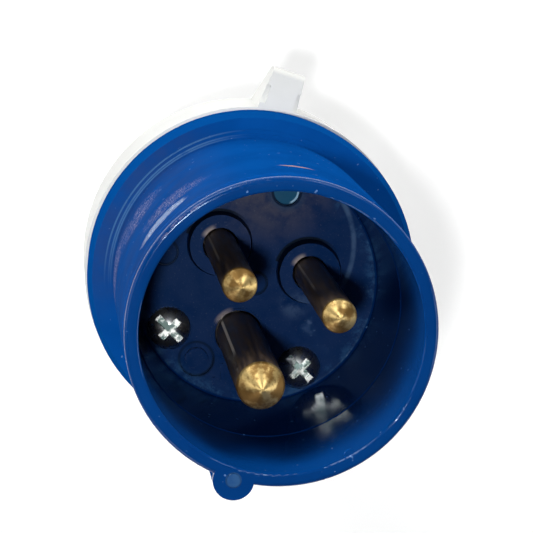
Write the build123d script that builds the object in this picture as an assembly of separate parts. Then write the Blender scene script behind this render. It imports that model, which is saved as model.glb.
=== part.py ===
from build123d import *
import math
import os

# Industrial plug, two poles and earth, 16 A.
# It has pins inside a round shroud, a flange, a rear housing and a cable gland.
# Frame, in millimetres: the axis of the plug is Z, and the pins point to +Z.
# The origin is on the axis, in the rear face of the gland nut, on which the plug stands.
# +Y is 12 o'clock, where the latch tab is, and the key is at 6 o'clock.
# +X is on the right as the pins are looked at.

# Levels along the axis
overall_length = 126.0
shroud_depth = 38.5
face_thickness = 3.0
flange_drop = 6.2
split_drop = 11.0
foot_drop = 4.6

# Shroud tube
mouth_r = 20.5
shroud_wall = 1.6
shroud_draft = 0.35
mouth_depth = 20.0
mouth_step = 0.1
bore_draft = 0.7
floor_round = 0.5
rim_outer_round = 0.7
rim_inner_round = 0.4
rim_band_height = 3.0
rim_band_step = 0.12
foot_step = 0.65
foot_step_height = 0.35

# Key rib on the outside of the shroud
key_width = 5.9
key_height = 2.8
gate_mark_r = 1.15
gate_mark_width = 0.2

# Flange, the web left behind it, and how far the pocket for the contact holder lies inside the tube
flange_inset = 0.3
flange_web = 1.6
pocket_inset = 0.4
flange_lip = 0.8
lip_height = 1.25
skirt_draft = 0.15

# Spigot that centres the front housing in the rear one
spigot_wall = 2.0
spigot_length = 4.5
spigot_clearance = 0.2

# Pins
pin_circle_d = 17.2
live_pin_d = 5.0
earth_pin_d = 7.0
live_barrel_d = 8.5
earth_barrel_d = 8.9
live_shaft_height = 34.8
earth_shaft_height = 34.4
pin_hole_clearance = 0.3
pin_neck_depth = 0.4
pin_neck_cover = 0.15
live_tip_round = 0.5
earth_tip_round = 1.0
tip_cone_angle = 52.0
tip_flat_r = 0.2
collar_height = 2.0
collar_width = 0.6
barrel_length = 20.0
wire_bore_d = 4.2
wire_bore_depth = 12.0
barrel_chamfer = 0.4

# Raised bosses round the line and neutral pins, and the ring round the earth pin
boss_foot_r = 5.2
boss_top_r = 4.8
boss_height = 1.9
earth_ring_r = 4.6
earth_ring_width = 0.5
shallow = 0.2

# Round marks that the mould leaves on the face: x, y, outer radius, depth
ejector_marks = [(0.1, 15.3, 2.2, 0.6), (-15.2, 0.4, 2.0, 0.25)]
sprue_mark_place = (-5.15, -14.5)
sprue_mark_r = 2.75
sprue_stub_r = 1.85
sprue_mark_depth = 0.5
centre_mark_r = 1.9
centre_mark_width = 0.35
centre_mark_depth = 0.3

# Raised strokes of the earth symbol below the earth pin: x, y, length
symbol_strokes = [(-0.5, -15.4, 3.2), (-1.3, -17.1, 1.5)]
symbol_angle = 22.0
symbol_line = 0.65
symbol_relief = 0.3

# Housing screws and their brass inserts
housing_screw_circle_r = 15.4
housing_screw_angles = [225.0, 315.0]
housing_screw_d = 4.0
housing_screw_length = 21.0
screw_head_d = 6.6
screw_head_height = 2.4
screw_head_sink = 0.5
screw_dome_r = 4.4
screw_slot_depth = 1.0
screw_cross_depth = 1.5
screw_slot_angle = -28.0
head_clearance = 0.25
screw_clearance = 0.25
insert_d = 6.0
insert_length = 8.0
insert_clearance = 0.05
thread_allowance = 0.05

# Contact holder
holder_clearance = 0.4
holder_plate = 4.5
holder_length = 22.5
holder_lobe_wall = 2.2
fit_clearance = 0.15
access_clearance = 0.3

# Screw in the middle of the holder
holder_boss_r = 2.7
holder_boss_length = 7.5
holder_web = 3.0
holder_hub_r = 5.0
holder_screw_d = 2.6
holder_screw_length = 9.0
holder_screw_head_d = 5.2
holder_screw_head_height = 1.9

# Terminal screws
terminal_screw_d = 4.0
terminal_screw_length = 4.6
terminal_head_d = 6.0
terminal_head_height = 2.2
terminal_screw_backed_out = 1.4
terminal_screw_height = 5.0

# Rear housing
rear_r = 26.8
rear_wall = 2.6
collar_length = 15.5
shoulder_length = 10.0
body_top_r = 20.5
body_end_r = 18.6
body_end_z = 26.0
end_wall = 2.5
grip_rib_count = 20
grip_rib_width = 2.2
grip_rib_height = 0.9
grip_rib_margin = 3.0
column_r = 4.4
column_web = 2.4

# Gasket between the housings
gasket_width = 1.1
gasket_thickness = 1.2
gasket_side_gap = 0.1

# Latch tab
tab_offset = -3.9
tab_top_width = 5.2
tab_root_width = 6.5
tab_height = 5.9
tab_depth = 13.0
tab_nose = 3.2
tab_recess = 0.7
tab_recess_width = 1.3
tab_recess_height = 3.0

# Cable gland
neck_outer_r = 13.2
neck_wall = 3.4
neck_start = 7.0
seal_ledge_z = 22.0
seal_ledge_r = 7.6
seal_length = 11.0
seal_bore_r = 6.4
washer_thickness = 1.0
washer_bore_r = 6.7
cage_bore_r = 7.6
cage_ring = 2.6
cage_tip_wall = 0.9
cage_finger_count = 10
cage_slit = 0.8
nut_r = 16.6
nut_length = 23.0
nut_end_wall = 3.2
nut_bore_clearance = 0.15
cable_entry_r = 7.0
nut_flute_count = 12
nut_flute_r = 2.6
nut_flute_depth = 0.9
nut_chamfer = 1.0
nut_band = 4.0

# Levels and radii that follow
rim_z = overall_length
face_z = rim_z - shroud_depth
floor_back_z = face_z - face_thickness
foot_z = face_z - foot_drop
flange_z = face_z - flange_drop
split_z = face_z - split_drop
spigot_end_z = split_z - spigot_length
shroud_outer_r = mouth_r + shroud_wall
foot_r = shroud_outer_r + shroud_draft
mouth_wall_r = mouth_r - rim_inner_round
bore_r = mouth_wall_r - mouth_step
floor_r = bore_r - bore_draft
flange_r = rear_r - flange_inset
rear_bore_r = rear_r - rear_wall
spigot_outer_r = rear_bore_r - spigot_clearance
spigot_inner_r = spigot_outer_r - spigot_wall
pocket_r = shroud_outer_r - pocket_inset
flange_back_z = split_z + flange_web
key_r = key_width / 2
key_centre_y = key_r - key_height - shroud_outer_r
pin_r = pin_circle_d / 2
holder_end_z = floor_back_z - holder_length
plate_back_z = floor_back_z - holder_plate
barrel_end_z = floor_back_z - barrel_length
terminal_z = barrel_end_z + terminal_screw_height
head_seat_z = face_z - screw_head_sink
rear_collar_end_z = split_z - collar_length
body_top_z = rear_collar_end_z - shoulder_length
neck_bore_r = neck_outer_r - neck_wall
nut_bore_r = neck_outer_r + nut_bore_clearance
seal_end_z = seal_ledge_z - seal_length
washer_end_z = seal_end_z - washer_thickness
cage_ring_end_z = washer_end_z - cage_ring
holder_boss_end_z = floor_back_z - holder_boss_length
holder_seat_z = holder_boss_end_z - fit_clearance - holder_web

# Name, direction round the axis, shaft and barrel diameters of each pin
PINS = [
    ("line", 30.0, live_pin_d, live_barrel_d),
    ("neutral", 150.0, live_pin_d, live_barrel_d),
    ("earth", 270.0, earth_pin_d, earth_barrel_d),
]
SIDES = ["left", "right"]


def around(radius, degrees, z=0.0):
    """A place at a radius and a direction round the axis."""
    angle = math.radians(degrees)
    return (radius * math.cos(angle), radius * math.sin(angle), z)


def turned(points):
    """A solid of revolution from its outline of (radius, z) points."""
    return revolve(Plane.XZ * make_face(Polyline(*points, close=True)), Axis.Z)


def rod(radius, z_low, z_high, place=(0.0, 0.0)):
    """A round rod along Z between two levels."""
    low_end = (Align.CENTER, Align.CENTER, Align.MIN)
    return Pos(place[0], place[1], z_low) * Cylinder(radius, z_high - z_low, align=low_end)


def ring(outer_r, inner_r, z_low, z_high, place=(0.0, 0.0)):
    """A plain tube along Z between two levels."""
    return rod(outer_r, z_low, z_high, place) - rod(inner_r, z_low, z_high, place)


def block(width, depth, height, place):
    """A box on its lowest face, centred in plan on a place."""
    return Pos(*place) * Box(width, depth, height, align=(Align.CENTER, Align.CENTER, Align.MIN))


def rounded(solid, radius, level, within=None):
    """Round the circular edges of a solid that lie at one level."""
    edges = [e for e in solid.edges().filter_by(GeomType.CIRCLE) if abs(e.center().Z - level) < 1e-4]
    if within is not None:
        edges = [e for e in edges if within[0] < e.radius < within[1]]
    return fillet(edges, radius)


def shroud_and_flange():
    """The turned form of the front housing: tube, floor, flange, skirt and spigot."""
    lip_r = flange_r - flange_lip
    step_1 = foot_r + foot_step
    step_2 = step_1 + foot_step
    outline = Polyline(
        (floor_r - floor_round, face_z), (0.0, face_z), (0.0, floor_back_z), (pocket_r, floor_back_z),
        (pocket_r, flange_back_z), (spigot_inner_r, flange_back_z), (spigot_inner_r, spigot_end_z),
        (spigot_outer_r, spigot_end_z), (spigot_outer_r, split_z),
        (flange_r - skirt_draft, split_z), (flange_r, flange_z), (lip_r, flange_z + lip_height),
        (step_2, foot_z - foot_step_height), (step_2, foot_z), (step_1, foot_z),
        (step_1, foot_z + foot_step_height), (foot_r, foot_z + foot_step_height),
        (shroud_outer_r + rim_band_step, rim_z - rim_band_height - rim_band_step),
        (shroud_outer_r, rim_z - rim_band_height), (shroud_outer_r, rim_z - rim_outer_round),
    )
    rim_round = RadiusArc(outline @ 1, (shroud_outer_r - rim_outer_round, rim_z), -rim_outer_round)
    rim_flat = Line(rim_round @ 1, (mouth_r, rim_z))
    mouth_round = RadiusArc(rim_flat @ 1, (mouth_wall_r, rim_z - rim_inner_round), -rim_inner_round)
    bore = Polyline(
        mouth_round @ 1, (mouth_wall_r, rim_z - mouth_depth), (bore_r, rim_z - mouth_depth - mouth_step),
        (floor_r, face_z + floor_round),
    )
    floor_arc = RadiusArc(bore @ 1, outline @ 0, floor_round)
    return revolve(Plane.XZ * make_face([outline, rim_round, rim_flat, mouth_round, bore, floor_arc]), Axis.Z)


def key_rib():
    """The half-round rib at 6 o'clock, from the flange to the rim."""
    low = foot_z - foot_step_height
    rib = rod(key_r, low, rim_z, (0.0, key_centre_y))
    rib -= rod(shroud_outer_r - shroud_wall / 2, low, rim_z)
    return rib - rod(spigot_outer_r, low, floor_back_z)


def boss_top(name):
    """The level at which a pin leaves the front housing."""
    return face_z if name == "earth" else face_z + boss_height


def face_marks(housing):
    """Bosses, rings and mould marks on the face, and the gate mark on the end of the key."""
    for name, angle, shaft_d, barrel_d in PINS:
        place = around(pin_r, angle)
        if name == "earth":
            housing -= ring(earth_ring_r, earth_ring_r - earth_ring_width, face_z - shallow, face_z, place)
        else:
            boss_base = Pos(place[0], place[1], face_z) * Circle(boss_foot_r)
            boss_head = Pos(place[0], place[1], boss_top(name)) * Circle(boss_top_r)
            housing += loft([boss_base, boss_head])
        housing -= rod(shaft_d / 2 + pin_hole_clearance, floor_back_z, boss_top(name), place)
    for x, y, mark_r, depth in ejector_marks:
        housing -= rod(mark_r, face_z - depth, face_z, (x, y))
    housing -= rod(sprue_mark_r, face_z - sprue_mark_depth, face_z, sprue_mark_place)
    housing += rod(sprue_stub_r, face_z - sprue_mark_depth, face_z + shallow, sprue_mark_place)
    housing -= ring(centre_mark_r, centre_mark_r - centre_mark_width, face_z - centre_mark_depth, face_z)
    gate_place = (0.0, key_centre_y)
    return housing - ring(gate_mark_r, gate_mark_r - gate_mark_width, rim_z - shallow, rim_z, gate_place)


def earth_symbol():
    """The raised strokes between the earth pin and the wall, with round ends."""
    strokes = []
    for x, y, length in symbol_strokes:
        stroke = Pos(x, y, face_z) * Rot(0, 0, 90.0 + symbol_angle) * SlotOverall(length, symbol_line)
        strokes.append(extrude(stroke, symbol_relief))
    return strokes


def make_front_housing():
    housing = shroud_and_flange() + key_rib()
    housing += rod(holder_boss_r, holder_boss_end_z, floor_back_z)
    housing = face_marks(housing)
    for stroke in earth_symbol():
        housing += stroke
    housing -= rod(holder_screw_d / 2, holder_boss_end_z, floor_back_z)
    for angle in housing_screw_angles:
        place = around(housing_screw_circle_r, angle)
        housing -= rod(housing_screw_d / 2 + screw_clearance, floor_back_z, face_z, place)
        housing -= rod(screw_head_d / 2 + head_clearance, head_seat_z, face_z, place)
    return housing


def make_pin(name, angle, shaft_d, barrel_d):
    """A turned brass pin, thinner inside the face, with a collar and a barrel that takes the wire."""
    shaft_r = shaft_d / 2
    barrel_r = barrel_d / 2
    collar_r = barrel_r + collar_width
    collar_low = floor_back_z - collar_height
    neck_r = shaft_r - pin_neck_depth
    neck_top = boss_top(name) - pin_neck_cover
    shoulder_z = face_z + (earth_shaft_height if name == "earth" else live_shaft_height)
    tip_round = earth_tip_round if name == "earth" else live_tip_round
    slope = math.radians(tip_cone_angle)
    cone_r = shaft_r - tip_round * (1 - math.cos(slope))
    cone_z = shoulder_z + tip_round * math.sin(slope)
    top_z = cone_z + (cone_r - tip_flat_r) / math.tan(slope)
    body = Polyline(
        (cone_r, cone_z), (tip_flat_r, top_z), (0.0, top_z), (0.0, barrel_end_z),
        (barrel_r - barrel_chamfer, barrel_end_z), (barrel_r, barrel_end_z + barrel_chamfer),
        (barrel_r, collar_low), (collar_r, collar_low), (collar_r, floor_back_z),
        (neck_r, floor_back_z), (neck_r, neck_top), (shaft_r, neck_top), (shaft_r, shoulder_z),
    )
    edge_round = TangentArc((shaft_r, shoulder_z), (cone_r, cone_z), tangent=(0, 1))
    pin = revolve(Plane.XZ * make_face([body, edge_round]), Axis.Z)
    pin -= rod(wire_bore_d / 2, barrel_end_z, barrel_end_z + wire_bore_depth)
    screw_hole = rod(terminal_screw_d / 2, 0.0, barrel_r + 1.0)
    pin -= Pos(0.0, 0.0, terminal_z) * Rot(0, 90, 0) * screw_hole
    return Pos(*around(pin_r, angle)) * Rot(0, 0, angle) * pin


def make_terminal_screw(angle, barrel_d):
    """A cheese head screw that points at the wire bore, backed out so that a wire can go in."""
    seat = barrel_d / 2 + terminal_screw_backed_out
    screw = rod(terminal_screw_d / 2 - thread_allowance, seat - terminal_screw_length, seat)
    screw += rod(terminal_head_d / 2, seat, seat + terminal_head_height)
    slot_low = seat + terminal_head_height / 2
    screw -= block(terminal_head_d + 1.0, terminal_head_d / 6, terminal_head_height, (0.0, 0.0, slot_low))
    return Pos(*around(pin_r, angle)) * Rot(0, 0, angle) * Pos(0.0, 0.0, terminal_z) * Rot(0, 90, 0) * screw


def make_contact_holder():
    """A round plate behind the face, with a lobe round each pin and a hub in the middle."""
    plate_r = pocket_r - holder_clearance
    holder = rod(plate_r, plate_back_z, floor_back_z)
    holder += rod(holder_hub_r, holder_seat_z, floor_back_z)
    for name, angle, shaft_d, barrel_d in PINS:
        holder += rod(barrel_d / 2 + holder_lobe_wall, holder_end_z, floor_back_z, around(pin_r, angle))
    holder -= rod(holder_hub_r, holder_end_z, holder_seat_z)
    for name, angle, shaft_d, barrel_d in PINS:
        place = around(pin_r, angle)
        collar_r = barrel_d / 2 + collar_width
        holder -= rod(barrel_d / 2 + fit_clearance, holder_end_z, floor_back_z, place)
        holder -= rod(collar_r + fit_clearance, floor_back_z - collar_height, floor_back_z, place)
        reach = 3 * pin_r
        slot_width = terminal_head_d + 2 * access_clearance
        slot_height = terminal_z + slot_width / 2 - holder_end_z
        slot = block(reach, slot_width, slot_height, (reach / 2, 0.0, holder_end_z))
        holder -= Pos(*around(pin_r, angle)) * Rot(0, 0, angle) * slot
    holder -= rod(holder_boss_r + fit_clearance, holder_boss_end_z - fit_clearance, floor_back_z)
    holder -= rod(holder_screw_d / 2 + fit_clearance, holder_seat_z, floor_back_z)
    for angle in housing_screw_angles:
        place = around(housing_screw_circle_r, angle)
        holder -= rod(housing_screw_d / 2 + screw_clearance, plate_back_z, floor_back_z, place)
    return holder


def make_housing_screw(angle):
    """A domed machine screw through the face into the brass insert, with a slot and a cross recess."""
    head_r = screw_head_d / 2
    top = head_seat_z + screw_head_height
    screw = rod(head_r, head_seat_z, top) & Pos(0.0, 0.0, top - screw_dome_r) * Sphere(screw_dome_r)
    bar = screw_head_d / 6
    arm = 0.6 * screw_head_d
    screw -= block(0.8 * screw_head_d, bar, screw_slot_depth, (0.0, 0.0, top - screw_slot_depth))
    screw -= block(arm, bar, screw_cross_depth, (0.0, 0.0, top - screw_cross_depth))
    screw -= block(bar, arm, screw_cross_depth, (0.0, 0.0, top - screw_cross_depth))
    screw += rod(housing_screw_d / 2 - thread_allowance, head_seat_z - housing_screw_length, head_seat_z)
    place = around(housing_screw_circle_r, angle)
    return Pos(*place) * Rot(0, 0, screw_slot_angle) * screw


def make_holder_screw():
    """A pan head screw from behind, through the hub into the boss of the face."""
    head_low = holder_seat_z - holder_screw_head_height
    screw = rod(holder_screw_head_d / 2, head_low, holder_seat_z)
    screw = rounded(screw, 0.45 * holder_screw_head_height, head_low)
    screw += rod(holder_screw_d / 2 - thread_allowance, holder_seat_z, holder_seat_z + holder_screw_length)
    depth = 0.55 * holder_screw_head_height
    bar = holder_screw_head_d / 7
    for width, height in ((0.6 * holder_screw_head_d, bar), (bar, 0.6 * holder_screw_head_d)):
        screw -= block(width, height, depth, (0.0, 0.0, head_low))
    return screw


def make_screw_insert(angle):
    """A brass insert in the column of the rear housing."""
    place = around(housing_screw_circle_r, angle)
    outer_r = insert_d / 2 - insert_clearance
    return ring(outer_r, housing_screw_d / 2, plate_back_z - insert_length, plate_back_z, place)


def make_housing_gasket():
    """The rubber ring in the rebate of the rear housing."""
    inner = rear_bore_r + gasket_side_gap
    return ring(inner + gasket_width, inner, split_z - gasket_thickness, split_z)


def rear_shell():
    """The turned form of the rear housing, from the collar to the threaded neck."""
    end_inner = body_end_z + end_wall
    outline = [
        (rear_bore_r, split_z), (rear_r, split_z), (rear_r, rear_collar_end_z), (body_top_r, body_top_z),
        (body_end_r, body_end_z), (neck_outer_r, body_end_z), (neck_outer_r, neck_start),
        (neck_bore_r, neck_start), (neck_bore_r, seal_ledge_z), (seal_ledge_r, seal_ledge_z),
        (seal_ledge_r, end_inner), (body_end_r - rear_wall, end_inner), (body_top_r - rear_wall, body_top_z),
        (rear_bore_r, rear_collar_end_z),
    ]
    shell = turned(outline)
    shell = rounded(shell, 3.0, rear_collar_end_z, (rear_r - 0.1, rear_r + 0.1))
    shell = rounded(shell, 4.0, body_top_z, (body_top_r - 0.1, body_top_r + 0.1))
    return rounded(shell, 1.2, body_end_z, (body_end_r - 0.1, body_end_r + 0.1))


def grip_ribs():
    """Half-round ribs along the narrow part of the rear housing."""
    low = body_end_z + grip_rib_margin
    high = body_top_z - grip_rib_margin
    slope = (body_top_r - body_end_r) / (body_top_z - body_end_z)
    low_r = body_end_r + slope * (low - body_end_z) - grip_rib_width / 2 + grip_rib_height
    high_r = body_end_r + slope * (high - body_end_z) - grip_rib_width / 2 + grip_rib_height
    ribs = []
    for index in range(grip_rib_count):
        angle = 360.0 * index / grip_rib_count
        base = Pos(*around(low_r, angle, low)) * Circle(grip_rib_width / 2)
        head = Pos(*around(high_r, angle, high)) * Circle(grip_rib_width / 2)
        ribs.append(loft([base, head]))
    return ribs


def latch_tab():
    """The nose at 12 o'clock that a socket's lid hooks onto, with its two front recesses."""
    top_y = rear_r + tab_height
    root_y = rear_r - rear_wall / 2
    front = Polyline(
        (tab_offset - tab_root_width / 2, root_y), (tab_offset - tab_top_width / 2, top_y),
        (tab_offset + tab_top_width / 2, top_y), (tab_offset + tab_root_width / 2, root_y), close=True,
    )
    tab = extrude(Pos(0, 0, split_z - tab_depth) * make_face(front), tab_depth)
    slope = Polyline(
        (top_y + 1.0, split_z - tab_nose), (root_y, split_z - tab_depth), (root_y, split_z - tab_depth - 1.0),
        (top_y + 1.0, split_z - tab_depth - 1.0), close=True,
    )
    wedge = Plane.YZ.offset(tab_offset - tab_root_width) * make_face(slope)
    tab -= extrude(wedge, 2 * tab_root_width)
    ends = [e for e in tab.edges().filter_by(Axis.X) if e.center().Y > top_y - 0.01]
    tab = fillet(ends, 0.8)
    rib_width = tab_root_width - 2 * tab_recess_width
    for side in (-1, 1):
        x = tab_offset + side * (rib_width + tab_recess_width + tab_recess) / 2
        place = (x, rear_r + tab_recess_height / 2, split_z - tab_recess)
        tab -= block(tab_recess_width, tab_recess_height, tab_recess, place)
    return tab


def screw_columns(shell):
    """Two columns for the inserts, each joined to the wall by a web."""
    bottom = body_top_z
    half_wall = rear_wall / 2
    inside = turned([
        (0.0, bottom), (body_top_r - half_wall, bottom), (rear_r - half_wall, rear_collar_end_z),
        (rear_r - half_wall, plate_back_z), (0.0, plate_back_z),
    ])
    for angle in housing_screw_angles:
        place = around(housing_screw_circle_r, angle)
        reach = rear_r - housing_screw_circle_r
        column = rod(column_r, bottom, plate_back_z, place)
        web = block(reach, column_web, spigot_end_z - fit_clearance - bottom, (reach / 2, 0.0, bottom))
        column += Pos(*place) * Rot(0, 0, angle) * web
        shell += column & inside
        shell -= rod(insert_d / 2, plate_back_z - insert_length, plate_back_z, place)
        hole_low = head_seat_z - housing_screw_length - 1.0
        shell -= rod(housing_screw_d / 2 + screw_clearance, hole_low, plate_back_z, place)
    return shell


def make_rear_housing():
    shell = screw_columns(rear_shell())
    for rib in grip_ribs():
        shell += rib
    tab = latch_tab() - rod(rear_bore_r + rear_wall / 2, split_z - 2 * tab_depth, split_z)
    shell += tab
    rebate_r = rear_bore_r + gasket_width + 2 * gasket_side_gap
    shell -= ring(rebate_r, rear_bore_r, split_z - gasket_thickness, split_z)
    return shell


def make_gland_seal():
    """The rubber sleeve, with a bead at each end."""
    outer = neck_bore_r - fit_clearance
    seal = ring(outer, seal_bore_r, seal_end_z, seal_ledge_z)
    middle_low = seal_end_z + seal_length / 4
    middle_high = seal_ledge_z - seal_length / 4
    return seal - ring(outer + 1.0, outer - 0.5, middle_low, middle_high)


def make_gland_washer():
    return ring(neck_bore_r - fit_clearance, washer_bore_r, washer_end_z, seal_end_z)


def make_gland_cage():
    """A ring with fingers that the cone in the nut closes on the cable."""
    ring_r = neck_bore_r - fit_clearance
    tip_r = cage_bore_r + cage_tip_wall
    cage = turned([
        (cage_bore_r, washer_end_z), (ring_r, washer_end_z), (ring_r, cage_ring_end_z),
        (tip_r, nut_end_wall), (cage_bore_r, nut_end_wall),
    ])
    for index in range(cage_finger_count):
        slit = block(2 * ring_r, cage_slit, cage_ring_end_z - nut_end_wall, (ring_r + 1.0, 0.0, nut_end_wall))
        cage -= Rot(0, 0, 360.0 * index / cage_finger_count) * slit
    return cage


def make_gland_nut():
    """A fluted nut over the neck of the rear housing."""
    tip_r = cage_bore_r + cage_tip_wall + fit_clearance
    seat_z = neck_start - 2 * fit_clearance
    nut = turned([
        (cable_entry_r, 0.0), (nut_r - nut_chamfer, 0.0), (nut_r, nut_chamfer),
        (nut_r, nut_length - nut_chamfer), (nut_r - nut_chamfer, nut_length), (nut_bore_r, nut_length),
        (nut_bore_r, seat_z), (neck_bore_r, seat_z), (tip_r, nut_end_wall), (cable_entry_r, nut_end_wall),
    ])
    flute_place = nut_r + nut_flute_r - nut_flute_depth
    for index in range(nut_flute_count):
        place = around(flute_place, 360.0 * (index + 0.5) / nut_flute_count)
        nut -= rod(nut_flute_r, -1.0, nut_length - nut_band, place)
    return nut


def make_all():
    parts = {
        "front_housing": make_front_housing(),
        "rear_housing": make_rear_housing(),
        "housing_gasket": make_housing_gasket(),
        "contact_holder": make_contact_holder(),
        "holder_screw": make_holder_screw(),
        "gland_seal": make_gland_seal(),
        "gland_washer": make_gland_washer(),
        "gland_cage": make_gland_cage(),
        "gland_nut": make_gland_nut(),
    }
    for name, angle, shaft_d, barrel_d in PINS:
        parts[name + "_pin"] = make_pin(name, angle, shaft_d, barrel_d)
        parts[name + "_terminal_screw"] = make_terminal_screw(angle, barrel_d)
    for side, angle in zip(SIDES, housing_screw_angles):
        parts["housing_screw_" + side] = make_housing_screw(angle)
        parts["screw_insert_" + side] = make_screw_insert(angle)
    return parts


os.makedirs("parts", exist_ok=True)
for node, solid in make_all().items():
    export_step(solid, "parts/" + node + ".step")
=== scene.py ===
import math

import bmesh
import bpy
from mathutils import Matrix, Vector


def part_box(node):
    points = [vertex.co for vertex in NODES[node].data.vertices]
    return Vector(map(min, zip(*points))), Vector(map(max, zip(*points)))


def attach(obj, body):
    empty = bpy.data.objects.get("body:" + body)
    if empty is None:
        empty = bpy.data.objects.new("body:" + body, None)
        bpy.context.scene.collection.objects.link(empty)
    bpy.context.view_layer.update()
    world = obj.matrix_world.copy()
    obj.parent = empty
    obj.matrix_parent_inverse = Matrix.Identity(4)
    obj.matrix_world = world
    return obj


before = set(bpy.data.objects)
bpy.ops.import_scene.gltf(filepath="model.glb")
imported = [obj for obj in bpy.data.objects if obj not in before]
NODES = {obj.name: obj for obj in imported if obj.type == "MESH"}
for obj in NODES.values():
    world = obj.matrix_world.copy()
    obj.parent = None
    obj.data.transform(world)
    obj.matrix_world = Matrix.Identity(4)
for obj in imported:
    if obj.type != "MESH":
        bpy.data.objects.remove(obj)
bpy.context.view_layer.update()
MM = 0.001

# Levels, worked out from the frame: the shroud's rim, the face that the pins stand on, the flange's front,
# and the shoulder where a pin's shank ends and its tip begins
RIM_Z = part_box("front_housing")[1].z
FACE_Z = RIM_Z - 38.5 * MM
FLANGE_Z = FACE_Z - 6.2 * MM
SHOULDER_Z = FACE_Z + 34.6 * MM

# Distances from the axis: the rim's inner edge, the edge of the face and the bevel of the flange
MOUTH_R = 20.5 * MM
FACE_R = 19.3 * MM
BEVEL_R = 25.6 * MM

# A pair that is named REACH, WIDTH, SPREAD, SEEN or START says where a mark ends, and where it becomes full

# Pins: place and radius; the two upper ones stand on bosses
PIN_X = 7.448 * MM
PIN_Y = 4.3 * MM
EARTH_Y = -8.6 * MM
PINS = [
    ((-PIN_X, PIN_Y), 2.5 * MM),
    ((PIN_X, PIN_Y), 2.5 * MM),
    ((0.0, EARTH_Y), 3.5 * MM),
]
BOSS_TOP_Z = FACE_Z + 1.9 * MM
# Painted shade in a line round the foot of each upper boss, towards the upper left: radius, width and spread
BOSS_FOOT_R = 5.3 * MM
BOSS_SHADE_WIDTH = (0.40 * MM, 0.15 * MM)
BOSS_SHADE_SPREAD = (110.0, 50.0)

# Housing screws: distance of each from the axis in x and in y, and the sphere that its head is a cap of
SCREW_PLACE = 10.889 * MM
HEAD_CENTRE_Z = FACE_Z - 2.5 * MM
HEAD_R = 4.30 * MM

# Painted highlight in an arc beside each pin, and the scrape down its shank, which starts below the shoulder;
# both angles run from 3 o'clock over 12 o'clock
LIT_SIDE_ANGLE = 147.0
GLINT_SPREAD = (30.0, 8.0)
GLINT_REACH = (1.2 * MM, 0.4 * MM)
SCRAPE_ANGLE = 160.0
SCRAPE_SPREAD = (5.0, 2.5)
SCRAPE_START = (SHOULDER_Z - 9.0 * MM, SHOULDER_Z - 14.0 * MM)

# Marks on the face: the hazy top, a pale swirl, the paler edge, and a pale strip on the right of a circle; the
# swirl and the strip are painted reflections
HAZE_PLACE = (-3.0 * MM, 17.0 * MM)
HAZE_REACH = (13.0 * MM, 4.0 * MM)
SWIRL_PLACE = (7.0 * MM, -1.2 * MM)
SWIRL_REACH = (3.4 * MM, 0.6 * MM)
PALE_EDGE_REACH = (FACE_R - 2.6 * MM, FACE_R - 0.5 * MM)
STRIP_PLACE = (0.3 * MM, 6.4 * MM)
STRIP_R = 13.3 * MM
STRIP_WIDTH = (0.6 * MM, 0.1 * MM)
STRIP_SEEN_X = (6.0 * MM, 9.0 * MM)
STRIP_SEEN_Y = (2.0 * MM, 5.0 * MM)

# Round marks of the mould on the face: place and radius of each, the painted glow round the top one and its
# painted bright edge; then the mark of the gate in the end of the key
TOP_MARK = (0.1 * MM, 15.27 * MM)
TOP_MARK_R = 2.2 * MM
TOP_GLOW_R = 3.6 * MM
TOP_SHINE_R = 1.85 * MM
TOP_SHINE_WIDTH = (0.2 * MM, 0.08 * MM)
TOP_SHINE_SEEN_X = (1.0 * MM, 1.5 * MM)
MARKS = [
    (TOP_MARK, TOP_MARK_R),
    ((-15.23 * MM, 0.41 * MM), 2.0 * MM),
    ((-5.15 * MM, -14.5 * MM), 2.75 * MM),
    ((0.0, 0.0), 1.75 * MM),
]
MARK_WIDTH = (0.34 * MM, 0.14 * MM)
GATE_PLACE = (0.0, -21.95 * MM)
GATE_REACH = (1.25 * MM, 1.05 * MM)

# Patches on the tube: angle from 12 o'clock to the left, half angle, level and half height
WORN_SIDES = [
    (60.0, 19.0, RIM_Z - 15.6 * MM, 4.6 * MM),
    (76.0, 16.0, FLANGE_Z + 14.0 * MM, 7.0 * MM),
    (99.0, 22.0, FLANGE_Z + 9.0 * MM, 6.0 * MM),
]
# A glossy patch near the rim, which is also painted lighter as a highlight
POLISHED = (66.0, 13.0, RIM_Z - 9.0 * MM, 2.4 * MM)
# A painted orange highlight on the tube below the rim
ORANGE_HIGHLIGHT_PATCH = (10.5, 8.0, RIM_Z - 11.5 * MM, 0.7 * MM)

# The same for the worn patch on the rim, with a radius instead of the level
WORN_RIM = (59.0, 15.0, 21.7 * MM, 0.30 * MM)

# The painted grey sheen on the left
SHEEN_ANGLE = 78.0
SHEEN_SPREAD = (52.0, 20.0)

# Painted highlight lines round the foot of the tube, by radius, and the angle round which they are seen
FOOT_LINES = (22.8 * MM, 23.1 * MM, 23.75 * MM)
FOOT_LINES_WIDTH = (0.16 * MM, 0.06 * MM)
FOOT_LINES_ANGLE = 66.0
FOOT_LINES_SPREAD = (48.0, 22.0)

# Thread on the neck: radius, where it starts, pitch, turns and thickness
THREAD_R = 13.25 * MM
THREAD_Z = 23.0 * MM
THREAD_PITCH = 1.5 * MM
THREAD_TURNS = 1.8
THREAD_SIZE = 0.45 * MM
THREAD_STEPS = 180
THREAD_SIDES = 10
THREAD_END = 0.15       # thickness at its two ends, as a share
THREAD_GROWTH = 12.0    # how fast it grows from there

# Curl of plastic on the rim: place, radius of the curl, how far it bends and how it thins out
CURL_ANGLE = math.radians(-43.0)
CURL_DEPTH = 0.5 * MM
CURL_SIZE = 0.55 * MM
CURL_STRETCH = 1.3
CURL_BEND = 1.5 * math.pi
CURL_DROP = 0.3 * MM
CURL_THICKNESS = 0.16 * MM
CURL_THINNING = 0.75
CURL_STEPS = 24
CURL_SIDES = 8

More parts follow.
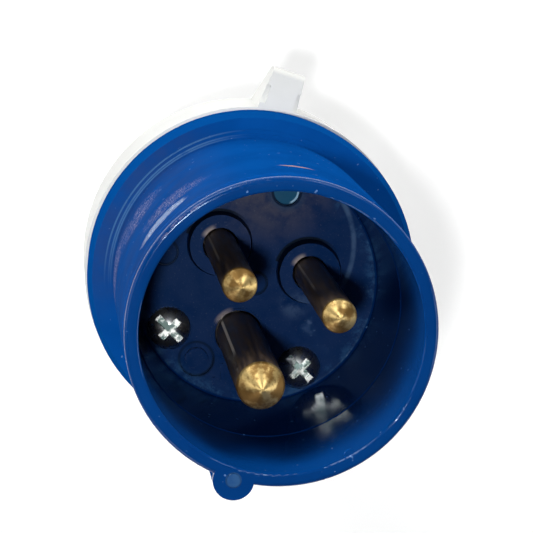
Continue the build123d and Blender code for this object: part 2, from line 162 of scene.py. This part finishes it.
# Camera, as the photograph was taken: close in front of the pins, a little to the left and above
CAMERA_PLACE = Vector((-0.04742, 0.04616, 0.39389))
CAMERA_TARGET = Vector((-0.00228, 0.00577, 0.10700))
CAMERA_ROLL = math.radians(18.6)
CAMERA_LENS = 133.84
SENSOR_WIDTH = 36.0
CLIP_START = 0.01

# Lights, all aimed at one point: name, direction to the light, distance, width and power
LIT_PLACE = Vector((0.0, 0.0, 0.10))
LIGHTS = [
    ("key", (-0.186, 0.057, 1.0), 0.356, 0.020, 0.80),
    ("low_upper_left", (-0.75, 0.75, 0.38), 1.2, 0.5, 7.4),
    ("low_top", (0.20, 1.00, 0.38), 1.2, 0.5, 4.8),
    ("low_right", (1.0, 0.1, 0.38), 1.2, 0.5, 4.0),
    ("low_bottom", (-0.2, -1.0, 0.38), 1.2, 0.5, 4.2),
    ("low_left", (-1.0, -0.25, 0.38), 1.2, 0.5, 2.6),
    ("streak_left", (-0.77, 0.64, 0.26), 1.0, 0.06, 0.35),
    ("streak_top", (-0.50, 0.87, 0.25), 1.0, 0.06, 0.35),
    ("streak_right", (0.03, 1.00, 0.25), 1.0, 0.06, 0.35),
]

# Stage: half the floor's width, its colours and its own glow, and the faint light from all round
FLOOR_HALF = 3.0
FLOOR_TONES = ((0.95, 0.95, 0.95, 1.0), (0.97, 0.97, 0.97, 1.0))
FLOOR_GLOW = 0.14
FLOOR_GLOW_COLOR = (1.0, 1.0, 1.0, 1.0)
WORLD_COLOR = (0.97, 0.98, 1.0, 1.0)
WORLD_STRENGTH = 0.09

# Plain mouldings and rubber: two tones each
LIGHT_GREY = ((0.60, 0.605, 0.58, 1.0), (0.68, 0.685, 0.66, 1.0))
WHITE = ((0.68, 0.68, 0.64, 1.0), (0.75, 0.75, 0.71, 1.0))
BLACK = ((0.02, 0.02, 0.022, 1.0), (0.032, 0.032, 0.034, 1.0))
RUBBER = ((0.018, 0.018, 0.019, 1.0), (0.05, 0.05, 0.05, 1.0))

# Brass: the tips, their blotches and the painted shade on their low side; the shanks, painted dark as shade,
# the scrape on them, and the shade in the holes that they stand in
TIP_TONES = ((0.54, 0.39, 0.15, 1.0), (0.19, 0.105, 0.025, 1.0))
TIP_BLOTCH = (0.16, 0.09, 0.025, 1.0)
TIP_SHADE = (0.13, 0.066, 0.014, 1.0)
SHANK_SHADE_TONES = ((0.040, 0.028, 0.021, 1.0), (0.13, 0.088, 0.058, 1.0))
SHANK_SCRAPE = (0.85, 0.76, 0.62, 1.0)
SHANK_HOLE = (0.004, 0.003, 0.003, 1.0)

# Zinc: the heads of the screws, and the painted light and dark reflections in their recesses
HEAD_TONES = ((0.66, 0.68, 0.68, 1.0), (0.34, 0.36, 0.36, 1.0))
RECESS_REFLECTION_TONES = ((0.78, 0.80, 0.77, 1.0), (0.12, 0.17, 0.16, 1.0))


class Shader:
    """A material with short names for the nodes that it is built from."""

    SOCKETS = {"color": "Base Color", "roughness": "Roughness", "metallic": "Metallic", "normal": "Normal",
               "ior": "IOR", "specular": "Specular IOR Level"}
    RAGGED = 1.2
    OVAL_EDGE = (1.60, 1.05)

    def __init__(self, name):
        self.material = bpy.data.materials.new(name)
        self.material.use_nodes = True
        self.tree = self.material.node_tree
        self.bsdf = self.tree.nodes["Principled BSDF"]

    def node(self, kind, **settings):
        made = self.tree.nodes.new(kind)
        for key, value in settings.items():
            setattr(made, key, value)
        return made

    def link(self, source, target):
        """Join a node's output to the socket, or give the socket a constant value."""
        if hasattr(source, "is_output"):
            self.tree.links.new(source, target)
        else:
            target.default_value = source

    def coords(self):
        return self.node("ShaderNodeTexCoord").outputs["Object"]

    def split(self, vector):
        made = self.node("ShaderNodeSeparateXYZ")
        self.link(vector, made.inputs[0])
        return made.outputs

    def join(self, x, y, z):
        made = self.node("ShaderNodeCombineXYZ")
        for value, target in zip((x, y, z), made.inputs):
            self.link(value, target)
        return made.outputs[0]

    def math(self, operation, a, b=0.0, clamp=False):
        made = self.node("ShaderNodeMath", operation=operation, use_clamp=clamp)
        self.link(a, made.inputs[0])
        self.link(b, made.inputs[1])
        return made.outputs[0]

    def times(self, value, *others):
        for other in others:
            value = self.math("MULTIPLY", value, other)
        return value

    def minus(self, a, b):
        return self.math("SUBTRACT", a, b)

    def radius(self, x, y):
        return self.math("SQRT", self.math("ADD", self.times(x, x), self.times(y, y)))

    def angle(self, y, x):
        """The angle of the point (x, y), in degrees."""
        return self.times(self.math("ARCTAN2", y, x), 180.0 / math.pi)

    def noise(self, vector, scale, detail=3.0, roughness=0.55):
        made = self.node("ShaderNodeTexNoise")
        self.link(vector, made.inputs["Vector"])
        made.inputs["Scale"].default_value = scale
        made.inputs["Detail"].default_value = detail
        made.inputs["Roughness"].default_value = roughness
        return made.outputs["Fac"]

    def between(self, value, low, high, out_low=0.0, out_high=1.0):
        """A soft step from out_low to out_high, as the value goes from low to high."""
        made = self.node("ShaderNodeMapRange", clamp=True, interpolation_type="SMOOTHSTEP")
        self.link(value, made.inputs["Value"])
        made.inputs["From Min"].default_value = low
        made.inputs["From Max"].default_value = high
        made.inputs["To Min"].default_value = out_low
        made.inputs["To Max"].default_value = out_high
        return made.outputs["Result"]

    def near(self, value, middle, width):
        """A mark round the middle. The width says how far off it ends, and how far off it is still full."""
        return self.between(self.math("ABSOLUTE", self.minus(value, middle)), *width)

    def oval(self, turn, level, patch, ragged):
        """An oval patch with a ragged edge: its angle, half angle, level and half height."""
        angle, half_angle, middle, half_height = patch
        across = self.math("DIVIDE", self.minus(turn, angle), half_angle)
        along = self.math("DIVIDE", self.minus(level, middle), half_height)
        off = self.math("ADD", self.radius(across, along), self.times(ragged, self.RAGGED))
        return self.between(off, *self.OVAL_EDGE)

    def mix(self, factor, a, b):
        made = self.node("ShaderNodeMix", data_type="RGBA")
        self.link(factor, made.inputs["Factor"])
        self.link(a, made.inputs["A"])
        self.link(b, made.inputs["B"])
        return made.outputs["Result"]

    def blend(self, factor, a, b):
        made = self.node("ShaderNodeMix", data_type="FLOAT")
        self.link(factor, made.inputs["Factor"])
        self.link(a, made.inputs["A"])
        self.link(b, made.inputs["B"])
        return made.outputs["Result"]

    def bump(self, height, distance, strength, normal=None):
        made = self.node("ShaderNodeBump")
        self.link(height, made.inputs["Height"])
        made.inputs["Distance"].default_value = distance
        made.inputs["Strength"].default_value = strength
        if normal is not None:
            self.link(normal, made.inputs["Normal"])
        return made.outputs["Normal"]

    def set(self, **values):
        for key, value in values.items():
            self.link(value, self.bsdf.inputs[self.SOCKETS[key]])
        return self.material


class BlueMoulding(Shader):
    """Glossy blue nylon: a dusty face, scuffs and fine lines round the tube and the rim, painted highlight
    lines round its foot, and painted light and shade.

    r is the distance from the axis, and turn the angle from 12 o'clock to the left in degrees. cloud and
    film are patterns. The other values that the layers share are masks: 1 on what they name, and 0 elsewhere.
    """

    # Clean plastic: a darker and a lighter blue of each place. It is one moulding, so the differences are
    # painted
    # light and shade: the tube and the bevel lighter, the inner wall darker deeper down, and the face darker
    BODY = ((0.0004, 0.028, 0.138, 1.0), (0.0007, 0.034, 0.158, 1.0))
    TUBE_LIT = ((0.0012, 0.052, 0.235, 1.0), (0.0016, 0.062, 0.270, 1.0))
    WALL_SHADED = ((0.0004, 0.016, 0.085, 1.0), (0.0010, 0.060, 0.270, 1.0))
    FACE_SHADED = ((0.0008, 0.016, 0.074, 1.0), (0.005, 0.021, 0.083, 1.0))
    BEVEL_LIT = (0.001, 0.055, 0.235, 1.0)
    REFLECTION = (0.60, 0.80, 1.0, 1.0)

    # What is on the face: haze and dust, marks of the mould, and painted highlights, reflections and shade
    HAZE = (0.085, 0.076, 0.092, 1.0)
    DUST = (0.11, 0.12, 0.16, 1.0)
    # Painted highlight beside each pin, and painted reflections in the swirl and the strip
    PIN_GLINT = (0.32, 0.27, 0.25, 1.0)
    SWIRL_REFLECTION = (0.07, 0.12, 0.22, 1.0)
    STRIP_REFLECTION = (0.05, 0.10, 0.20, 1.0)
    PALE_EDGE = (0.022, 0.075, 0.18, 1.0)
    # Painted shade round the foot of the upper bosses and on their sides
    BOSS_FOOT_SHADE = (0.0004, 0.003, 0.011, 1.0)
    BOSS_SIDE_SHADE = (0.0005, 0.003, 0.010, 1.0)
    # The top mark: a painted glow, its fill painted lighter as if lit through its floor, and a painted bright
    # edge
    MARK_GLOW = (0.010, 0.045, 0.110, 1.0)
    MARK_LIT_FILL = (0.010, 0.085, 0.165, 1.0)
    MARK_OUTLINE = (0.001, 0.008, 0.030, 1.0)
    MARK_SHINE = (0.30, 0.50, 0.66, 1.0)

    # What is on the rest: specks, a painted orange highlight, the gate mark, a painted grey sheen, scuffs,
    # painted highlight lines round the foot, and a painted highlight on the glossy patch
    SPECK = (0.10, 0.20, 0.42, 1.0)
    ORANGE_HIGHLIGHT = (0.56, 0.33, 0.18, 1.0)
    GATE = (0.030, 0.090, 0.210, 1.0)
    SHEEN_GREY = (0.034, 0.045, 0.105, 1.0)
    SCUFF = (0.36, 0.32, 0.42, 1.0)
    FOOT_HIGHLIGHT = (0.045, 0.13, 0.30, 1.0)
    POLISHED_HIGHLIGHT = (0.030, 0.120, 0.340, 1.0)

    def __init__(self):
        super().__init__("blue_moulding")
        self.place = self.coords()
        self.x, self.y, self.z = self.split(self.place)
        self.r = self.radius(self.x, self.y)
        self.turn = self.angle(self.times(self.x, -1.0), self.y)
        self.cloud = self.noise(self.place, 90.0, 4.0)
        self.film = self.noise(self.place, 240.0, 5.0, 0.65)

        self.inside = self.between(self.r, MOUTH_R + 0.5 * MM, MOUTH_R + 0.3 * MM)
        self.outside = self.math("SUBTRACT", 1.0, self.inside, clamp=True)
        self.face = self.times(self.between(self.r, FACE_R - 0.1 * MM, FACE_R - 0.4 * MM),
                               self.between(self.z, BOSS_TOP_Z + 0.5 * MM, BOSS_TOP_Z + 0.2 * MM),
                               self.between(self.z, FACE_Z - 1.2 * MM, FACE_Z - 0.8 * MM))
        self.tube = self.times(self.outside, self.between(self.z, FLANGE_Z + 0.6 * MM, FLANGE_Z + 1.2 * MM))
        self.bevel = self.between(self.r, BEVEL_R, BEVEL_R + 0.2 * MM)
        self.scuff = self.hatched_scuffs()
        side = self.times(self.tube, self.between(self.z, RIM_Z - 0.4 * MM, RIM_Z - 1.2 * MM))
        polished = self.oval(self.turn, self.z, POLISHED, self.film)
        self.matt = self.times(side, self.minus(1.0, polished))
        self.glossy_highlight = self.times(side, polished)

    def off(self, place):
        """The distance from the place, seen along the axis."""
        return self.radius(self.minus(self.x, place[0]), self.minus(self.y, place[1]))

    def hatched_scuffs(self):
        """Scuffs across the worn patches of the tube and the rim."""
        clear = self.between(self.r, MOUTH_R + 0.6 * MM, MOUTH_R + 0.9 * MM)
        worn = self.oval(self.turn, self.r, WORN_RIM, self.film)
        for patch in WORN_SIDES:
            side = self.times(self.oval(self.turn, self.z, patch, self.film), clear)
            worn = self.math("MAXIMUM", worn, side)
        hatch = self.noise(self.join(self.times(self.turn, 0.30), self.times(self.z, 2600.0),
                                     self.times(self.r, 900.0)), 1.0, 5.0, 0.7)
        across = self.noise(self.join(self.times(self.turn, 3.2), self.times(self.z, 420.0), 0.0), 1.0)
        return self.times(worn, self.between(self.film, 0.30, 0.52), self.between(hatch, 0.42, 0.62),
                          self.between(across, 0.40, 0.60))

    def plastic_color(self):
        """Clean plastic, painted lighter on the tube and up its inner wall, where more light falls, with a few
        pale specks.
        """
        clouded = self.between(self.cloud, 0.35, 0.65)
        below_rim = self.between(self.z, RIM_Z - 0.2 * MM, RIM_Z - 0.8 * MM)
        # The tube, painted lighter than the body as lit
        color = self.mix(self.times(self.tube, below_rim), self.mix(clouded, *self.BODY),
                         self.mix(clouded, *self.TUBE_LIT))
        # The inner wall, painted darker deeper down as shade
        wall = self.mix(self.between(self.z, RIM_Z - 20.5 * MM, RIM_Z - 1.0 * MM), *self.WALL_SHADED)
        below_mouth = self.between(self.z, RIM_Z - 0.1 * MM, RIM_Z - 0.5 * MM)
        color = self.mix(self.times(self.inside, below_mouth), color, wall)
        specks = self.noise(self.place, 1100.0, 1.0)
        return self.mix(self.between(specks, 0.74, 0.80, 0.0, 0.7), color, self.SPECK)

    def face_color(self):
        """The face, painted darker as shade deep in the shroud: hazy and dusty at the top, and paler in patches
        along its edge.
        """
        color = self.mix(self.between(self.film, 0.35, 0.70), *self.FACE_SHADED)
        haze = self.times(self.between(self.off(HAZE_PLACE), *HAZE_REACH), self.between(self.film, 0.25, 0.6))
        color = self.mix(self.times(haze, 0.62), color, self.HAZE)
        dust = self.noise(self.place, 2800.0, 3.0, 0.7)
        amount = self.math("MAXIMUM", self.times(haze, 0.8), 0.35)
        color = self.mix(self.times(amount, self.between(dust, 0.58, 0.76)), color, self.DUST)
        for place, size in PINS:
            color = self.beside_pin(color, place, size)
        # A painted reflection in a pale swirl
        swirl = self.times(self.between(self.off(SWIRL_PLACE), *SWIRL_REACH),
                           self.between(self.film, 0.40, 0.62, 0.0, 0.5))
        color = self.mix(swirl, color, self.SWIRL_REFLECTION)
        color = self.with_mould_marks(color)
        # Paler in patches along the edge
        patchy = self.between(self.noise(self.place, 330.0, 5.0, 0.7), 0.46, 0.62)
        edge = self.times(self.between(self.r, *PALE_EDGE_REACH), patchy, 0.7)
        color = self.mix(edge, color, self.PALE_EDGE)
        # A painted reflection in a pale strip on the right of a circle
        strip = self.times(self.near(self.off(STRIP_PLACE), STRIP_R, STRIP_WIDTH),
                           self.between(self.y, *STRIP_SEEN_Y), self.between(self.x, *STRIP_SEEN_X),
                           self.between(self.film, 0.3, 0.6, 0.25, 0.8))
        return self.mix(strip, color, self.STRIP_REFLECTION)

    def beside_pin(self, color, place, size):
        """Painted shade round the foot of an upper pin's boss, and a painted highlight in an arc beside the
        pin.
        """
        off = self.off(place)
        angle = self.angle(self.minus(self.y, place[1]), self.minus(self.x, place[0]))
        if place[1] > 0.0:
            foot = self.times(self.near(off, BOSS_FOOT_R, BOSS_SHADE_WIDTH),
                              self.near(angle, LIT_SIDE_ANGLE, BOSS_SHADE_SPREAD))
            color = self.mix(foot, color, self.BOSS_FOOT_SHADE)
        # A painted highlight in an arc beside the pin
        arc = self.times(self.near(angle, LIT_SIDE_ANGLE, GLINT_SPREAD),
                         self.between(self.minus(off, size), *GLINT_REACH),
                         self.between(self.film, 0.25, 0.55, 0.3, 1.0))
        return self.mix(arc, color, self.PIN_GLINT)

    def with_mould_marks(self, color):
        """The outline of each round mark. The top one is painted lighter and greenish, with a painted glow
        round it and a painted bright edge.
        """
        off = self.off(TOP_MARK)
        glow = self.between(off, TOP_GLOW_R, TOP_MARK_R, 0.0, 0.5)
        fill = self.between(off, TOP_MARK_R, TOP_MARK_R - 0.2 * MM, 0.0, 0.8)
        color = self.mix(fill, self.mix(glow, color, self.MARK_GLOW), self.MARK_LIT_FILL)
        for place, size in MARKS:
            outline = self.times(self.near(self.off(place), size, MARK_WIDTH), 0.85)
            color = self.mix(outline, color, self.MARK_OUTLINE)
        shine = self.times(self.near(off, TOP_SHINE_R, TOP_SHINE_WIDTH),
                           self.between(self.x, *TOP_SHINE_SEEN_X))
        return self.mix(shine, color, self.MARK_SHINE)

    def with_wear_and_painted_light(self, color):
        """Painted shade on the bosses' sides; on the rest a painted orange highlight, the gate mark, a painted
        sheen, scuffs, painted highlight lines and the glossy patch's painted highlight.
        """
        # The sides of the bosses, painted dark as shade
        boss_side_shade = self.times(self.face, self.between(self.z, FACE_Z + 0.5 * MM, FACE_Z + 0.7 * MM),
                               self.between(self.z, BOSS_TOP_Z - 0.05 * MM, BOSS_TOP_Z - 0.2 * MM))
        color = self.mix(boss_side_shade, color, self.BOSS_SIDE_SHADE)
        # A painted orange highlight on the tube below the rim
        orange_highlight = self.times(self.tube, self.oval(self.turn, self.z, ORANGE_HIGHLIGHT_PATCH, self.film), 0.7)
        color = self.mix(orange_highlight, color, self.ORANGE_HIGHLIGHT)
        gate = self.times(self.between(self.off(GATE_PLACE), *GATE_REACH),
                          self.between(self.z, RIM_Z - 0.3 * MM, RIM_Z - 0.2 * MM),
                          self.between(self.film, 0.3, 0.6, 0.3, 0.8))
        color = self.mix(gate, color, self.GATE)
        # A painted grey sheen over the left of the outside
        sheen = self.times(self.outside, self.near(self.turn, SHEEN_ANGLE, SHEEN_SPREAD),
                          self.between(self.film, 0.25, 0.65, 0.10, 0.34),
                          self.between(self.z, RIM_Z - 0.2 * MM, RIM_Z - 1.0 * MM))
        color = self.mix(sheen, color, self.SHEEN_GREY)
        color = self.mix(self.times(self.scuff, 0.75), color, self.SCUFF)
        # Painted highlight lines round the foot of the tube
        seen = self.near(self.turn, FOOT_LINES_ANGLE, FOOT_LINES_SPREAD)
        for line_r in FOOT_LINES:
            line = self.times(self.near(self.r, line_r, FOOT_LINES_WIDTH),
                              self.between(self.film, 0.30, 0.45, 0.2, 1.0), seen)
            color = self.mix(line, color, self.FOOT_HIGHLIGHT)
        # The glossy patch, painted lighter as a highlight
        color = self.mix(self.times(self.glossy_highlight, 0.8), color, self.POLISHED_HIGHLIGHT)
        # The bevel, painted lighter as lit
        return self.mix(self.bevel, color, self.BEVEL_LIT)

    def roughness(self):
        rough = self.blend(self.between(self.cloud, 0.3, 0.7), 0.13, 0.19)
        rough = self.blend(self.inside, rough, 0.08)
        rough = self.blend(self.face, rough, self.between(self.film, 0.35, 0.7, 0.30, 0.50))
        rough = self.blend(self.scuff, rough, 0.55)
        rough = self.blend(self.matt, rough, 0.4)
        rough = self.blend(self.glossy_highlight, rough, self.between(self.film, 0.3, 0.7, 0.22, 0.36))
        return self.blend(self.bevel, rough, 0.4)

    def specular(self):
        """Weak on the face, and none on the bevel and the matt side of the tube."""
        specular = self.blend(self.bevel, self.blend(self.inside, 0.20, 0.28), 0.0)
        return self.blend(self.matt, self.blend(self.face, specular, 0.06), 0.0)

    def relief(self):
        """Fine grain, faint lines that run round the axis, and shallow pits."""
        around = self.noise(self.join(self.times(self.r, 5200.0), self.times(self.turn, 0.12),
                                      self.times(self.z, 5200.0)), 1.0)
        grain = self.bump(self.noise(self.place, 2600.0, 2.0), 0.012 * MM, 0.4)
        lines = self.bump(around, 0.02 * MM, 0.4, grain)
        return self.bump(self.noise(self.place, 900.0), 0.012 * MM, 0.3, lines)

    def finished(self):
        color = self.mix(self.face, self.plastic_color(), self.face_color())
        self.bsdf.inputs["Specular Tint"].default_value = self.REFLECTION
        return self.set(color=self.with_wear_and_painted_light(color), roughness=self.roughness(), normal=self.relief(),
                        ior=1.5, specular=self.specular())


def plain_moulding(name, low, high):
    """Fine matt moulded plastic between two colours, with a little dirt in it."""
    s = Shader(name)
    place = s.coords()
    cloud = s.noise(place, 60.0, 5.0)
    specks = s.noise(place, 700.0)
    color = s.mix(s.between(cloud, 0.3, 0.7), low, high)
    dirt = tuple(0.6 * channel for channel in low[:3]) + (1.0,)
    color = s.mix(s.between(specks, 0.70, 0.80, 0.0, 0.5), color, dirt)
    rough = s.between(cloud, 0.3, 0.7, 0.41, 0.53)
    return s.set(color=color, roughness=rough, normal=s.bump(s.noise(place, 2400.0, 2.0), 0.02 * MM, 0.5))


def brass():
    """Turned brass: golden tips with brown blotches and painted shade on their low side, and shanks painted
    nearly black as shade.
    """
    s = Shader("turned_brass")
    place = s.coords()
    x, y, z = s.split(place)
    rings = s.noise(s.join(0.0, 0.0, z), 5200.0, 2.0)
    cloud = s.noise(place, 420.0, 4.0)
    specks = s.noise(place, 1500.0)
    streaks = s.noise(s.join(s.times(x, 9.0), s.times(y, 9.0), z), 160.0)

    # From the middle of the pin: the earth pin lies below the axis, and the others above it
    is_earth = s.between(y, 0.0, -0.1 * MM)
    off_x = s.minus(x, s.blend(is_earth, s.times(s.math("SIGN", x), PIN_X), 0.0))
    off_y = s.minus(y, s.blend(is_earth, PIN_Y, EARTH_Y))

    tip = s.mix(s.between(cloud, 0.42, 0.60), *TIP_TONES)
    tip = s.mix(s.between(specks, 0.52, 0.72, 0.0, 0.6), tip, TIP_BLOTCH)
    # Painted shade on the low side of each tip
    low_side = s.minus(s.times(off_y, -0.95), s.times(off_x, 0.3))
    low_side_shade = s.times(s.between(low_side, -0.4 * MM, 2.2 * MM), s.between(specks, 0.30, 0.60, 0.55, 0.95))
    tip = s.mix(low_side_shade, tip, TIP_SHADE)

    # The shanks, painted nearly black as shade
    dark = s.mix(s.between(streaks, 0.35, 0.7), *SHANK_SHADE_TONES)
    scrape = s.times(s.near(s.angle(off_y, off_x), SCRAPE_ANGLE, SCRAPE_SPREAD),
                     s.between(streaks, 0.30, 0.46, 0.4, 1.0), s.blend(is_earth, 0.3, 1.0),
                     s.between(z, *SCRAPE_START))
    dark = s.mix(scrape, dark, SHANK_SCRAPE)

    shank = s.between(z, SHOULDER_Z + 0.2 * MM, SHOULDER_Z - 0.3 * MM)
    color = s.mix(shank, tip, dark)
    hole = s.times(s.between(z, FACE_Z - 3.4 * MM, FACE_Z - 3.2 * MM),
                   s.between(z, BOSS_TOP_Z - 0.2 * MM, FACE_Z - 0.2 * MM), 0.8)
    color = s.mix(hole, color, SHANK_HOLE)
    rough = s.blend(shank, s.between(cloud, 0.35, 0.65, 0.34, 0.50), s.between(streaks, 0.3, 0.7, 0.36, 0.54))
    normal = s.bump(cloud, 0.05 * MM, 0.5, s.bump(rings, 0.01 * MM, 0.6))
    return s.set(color=color, metallic=s.blend(shank, 0.75, 0.35), roughness=rough, normal=normal)


def zinc():
    """Zinc plated steel, duller in the recesses of the housing screws, which are painted with light and dark
    mottles as reflections.
    """
    s = Shader("zinc_plate")
    place = s.coords()
    x, y, z = s.split(place)
    cloud = s.noise(place, 800.0, 4.0)
    off_x = s.minus(s.math("ABSOLUTE", x), SCREW_PLACE)
    off_y = s.math("ADD", y, SCREW_PLACE)
    from_centre = s.radius(s.radius(off_x, off_y), s.minus(z, HEAD_CENTRE_Z))
    recess = s.times(s.between(z, FACE_Z + 0.2 * MM, FACE_Z + 0.3 * MM),
                     s.between(from_centre, HEAD_R, HEAD_R - 0.08 * MM))
    head = s.mix(s.between(cloud, 0.35, 0.7), *HEAD_TONES)
    # Painted reflections in the recesses, in light and dark mottles
    mottled_reflection = s.mix(s.between(cloud, 0.44, 0.58), *RECESS_REFLECTION_TONES)
    rough = s.blend(recess, s.between(cloud, 0.3, 0.75, 0.24, 0.38), 0.42)
    return s.set(color=s.mix(recess, head, mottled_reflection), metallic=1.0, roughness=rough,
                 normal=s.bump(s.noise(place, 3600.0, 2.0), 0.01 * MM, 0.5))


def rubber():
    s = Shader("rubber")
    place = s.coords()
    color = s.mix(s.noise(place, 200.0, 4.0), *RUBBER)
    return s.set(color=color, roughness=0.72, normal=s.bump(s.noise(place, 2000.0), 0.02 * MM, 0.6))


def dress(material, *names):
    for name in names:
        target = NODES[name]
        target.data.materials.clear()
        target.data.materials.append(material)


def sweep(name, points, sizes, sides, material):
    """A round cord along the points, as thick at each as its size; it rides with the part."""
    form = bmesh.new()
    rings = []
    for index, point in enumerate(points):
        along = points[min(index + 1, len(points) - 1)] - points[max(index - 1, 0)]
        across = along.cross(Vector((0.0, 0.0, 1.0))).normalized()
        other = along.cross(across).normalized()
        ring = []
        for step in range(sides):
            angle = math.tau * step / sides
            out = math.cos(angle) * across + math.sin(angle) * other
            ring.append(form.verts.new(point + sizes[index] * out))
        rings.append(ring)
    for first, second in zip(rings, rings[1:]):
        for step in range(sides):
            after = (step + 1) % sides
            form.faces.new((first[step], first[after], second[after], second[step]))
    form.faces.new(rings[0])
    form.faces.new(rings[-1])
    bmesh.ops.recalc_face_normals(form, faces=form.faces)
    for face in form.faces:
        face.smooth = True
    mesh = bpy.data.meshes.new(name)
    form.to_mesh(mesh)
    form.free()
    mesh.materials.append(material)
    piece = bpy.data.objects.new(name, mesh)
    bpy.context.scene.collection.objects.link(piece)
    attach(piece, "root")


def neck_thread(material):
    """The few turns of thread that show between the gland nut and the rear housing."""
    points = []
    sizes = []
    for step in range(THREAD_STEPS + 1):
        share = step / THREAD_STEPS
        angle = math.tau * THREAD_TURNS * share
        points.append(Vector((THREAD_R * math.cos(angle), THREAD_R * math.sin(angle),
                              THREAD_Z + THREAD_PITCH * THREAD_TURNS * share)))
        to_end = min(share, 1.0 - share)
        sizes.append(THREAD_SIZE * min(1.0, THREAD_END + THREAD_GROWTH * to_end))
    sweep("neck_thread", points, sizes, THREAD_SIDES, material)


def rim_curl(material):
    """A thin curl of plastic left standing on the inner edge of the rim."""
    outward = Vector((math.cos(CURL_ANGLE), math.sin(CURL_ANGLE), 0.0))
    beside = Vector((outward.y, -outward.x, 0.0))
    foot = MOUTH_R * outward + Vector((0.0, 0.0, RIM_Z - CURL_DEPTH))
    points = []
    sizes = []
    for step in range(CURL_STEPS + 1):
        share = step / CURL_STEPS
        bend = CURL_BEND * share
        inward = -CURL_SIZE * (1.0 - math.cos(bend)) * outward
        aside = CURL_SIZE * CURL_STRETCH * math.sin(bend) * beside
        points.append(foot + inward + aside - Vector((0.0, 0.0, CURL_DROP * share)))
        sizes.append(CURL_THICKNESS * (1.0 - CURL_THINNING * share))
    sweep("rim_curl", points, sizes, CURL_SIDES, material)


def square_light(name, place, width, power):
    data = bpy.data.lights.new(name, "AREA")
    data.shape = "RECTANGLE"
    data.size = width
    data.size_y = width
    data.energy = power
    lamp = bpy.data.objects.new(name, data)
    lamp.location = place
    lamp.rotation_euler = (LIT_PLACE - place).to_track_quat("-Z", "Y").to_euler()
    bpy.context.scene.collection.objects.link(lamp)


def pale_floor():
    mesh = bpy.data.meshes.new("floor")
    form = bmesh.new()
    bmesh.ops.create_grid(form, x_segments=1, y_segments=1, size=FLOOR_HALF)
    form.to_mesh(mesh)
    form.free()
    floor = bpy.data.objects.new("floor", mesh)
    bpy.context.scene.collection.objects.link(floor)
    s = Shader("pale_floor")
    color = s.mix(s.noise(s.coords(), 3.0), *FLOOR_TONES)
    s.bsdf.inputs["Emission Color"].default_value = FLOOR_GLOW_COLOR
    s.bsdf.inputs["Emission Strength"].default_value = FLOOR_GLOW
    mesh.materials.append(s.set(color=color, roughness=0.9))


def set_stage():
    """Pale floor, soft light and the camera."""
    pale_floor()

    world = bpy.data.worlds.new("studio")
    world.use_nodes = True
    background = world.node_tree.nodes["Background"]
    background.inputs["Color"].default_value = WORLD_COLOR
    background.inputs["Strength"].default_value = WORLD_STRENGTH
    bpy.context.scene.world = world
    for name, way, distance, width, power in LIGHTS:
        square_light(name, LIT_PLACE + distance * Vector(way).normalized(), width, power)

    data = bpy.data.cameras.new("camera")
    data.lens = CAMERA_LENS
    data.sensor_width = SENSOR_WIDTH
    data.clip_start = CLIP_START
    camera = bpy.data.objects.new("camera", data)
    back = (CAMERA_PLACE - CAMERA_TARGET).normalized()
    right = Vector((0.0, 1.0, 0.0)).cross(back).normalized()
    aim = Matrix((right, back.cross(right), back)).transposed().to_4x4()
    camera.matrix_world = Matrix.Translation(CAMERA_PLACE) @ aim @ Matrix.Rotation(CAMERA_ROLL, 4, "Z")
    bpy.context.scene.collection.objects.link(camera)
    bpy.context.scene.camera = camera
    bpy.context.scene.view_settings.view_transform = "Standard"


set_stage()
light_grey = plain_moulding("light_grey_moulding", *LIGHT_GREY)
white = plain_moulding("white_moulding", *WHITE)
black = plain_moulding("black_moulding", *BLACK)
blue = BlueMoulding().finished()
dress(blue, "front_housing")
rim_curl(blue)
neck_thread(light_grey)
dress(light_grey, "rear_housing", "gland_nut")
dress(white, "gland_cage", "gland_washer")
dress(black, "contact_holder")
dress(rubber(), "housing_gasket", "gland_seal")
dress(brass(), "line_pin", "neutral_pin", "earth_pin", "screw_insert_left", "screw_insert_right")
dress(zinc(), "housing_screw_left", "housing_screw_right", "holder_screw",
      "line_terminal_screw", "neutral_terminal_screw", "earth_terminal_screw")
